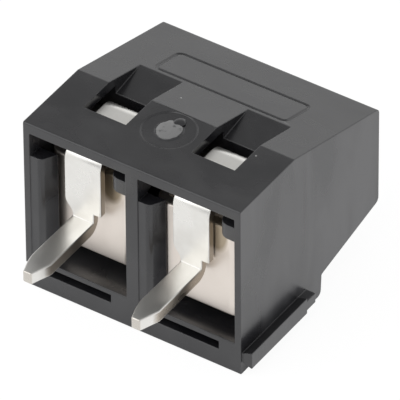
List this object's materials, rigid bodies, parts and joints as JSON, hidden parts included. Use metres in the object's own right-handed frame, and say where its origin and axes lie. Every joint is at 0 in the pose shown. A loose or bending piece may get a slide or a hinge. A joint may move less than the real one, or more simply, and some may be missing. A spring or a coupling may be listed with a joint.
{
  "type": "pcb screw terminal",
  "caption": "Black screw terminal block for a circuit board, with wire cages that rise as slotted screws are turned, tinned solder pins below and a dovetail rail on one side.",
  "frame": {"origin": "on the board seat (the rim of the open underside), midway between the two solder pins", "axes": "+Z away from the board, out of the screw wells; wires enter from -Y; the poles lie along X, with the dovetail rail on the -X side"},
  "size_m": [0.0106, 0.0083, 0.0135],
  "materials": {
    "housing_plastic": "fine satin moulded black polyamide",
    "contact_tin": "bright tinned sheet",
    "cage_nickel": "nickel plated, slightly warm",
    "screw_zinc": "bright zinc plated"
  },
  "bodies": {
    "block": {"housing": "housing_plastic", "contact_1": "contact_tin", "contact_2": "contact_tin"},
    "cage_1": {"cage_1": "cage_nickel"},
    "cage_2": {"cage_2": "cage_nickel"},
    "screw_1": {"screw_1": "screw_zinc"},
    "screw_2": {"screw_2": "screw_zinc"}
  },
  "joints": [
    {"name": "screw_1_turn", "type": "hinge", "parent": "block", "child": "screw_1", "pos_m": [-0.00254, 0.0003, 0.0085], "axis": [0, 0, -1], "range_deg": [0, 1461.6]},
    {"name": "cage_1_lift", "type": "slide", "parent": "block", "child": "cage_1", "axis": [0, 0, 1], "range_m": [0, 0.00203]},
    {"name": "screw_2_turn", "type": "hinge", "parent": "block", "child": "screw_2", "pos_m": [0.00254, 0.0003, 0.0085], "axis": [0, 0, -1], "range_deg": [-180, 1281.6]},
    {"name": "cage_2_lift", "type": "slide", "parent": "block", "child": "cage_2", "axis": [0, 0, 1], "range_m": [-0.00025, 0.00178]}
  ],
  "couplings": [
    {"joint": "screw_1_turn", "follows": "cage_1_lift", "rad_per_m": 12566},
    {"joint": "screw_2_turn", "follows": "cage_2_lift", "rad_per_m": 12566}
  ]
}
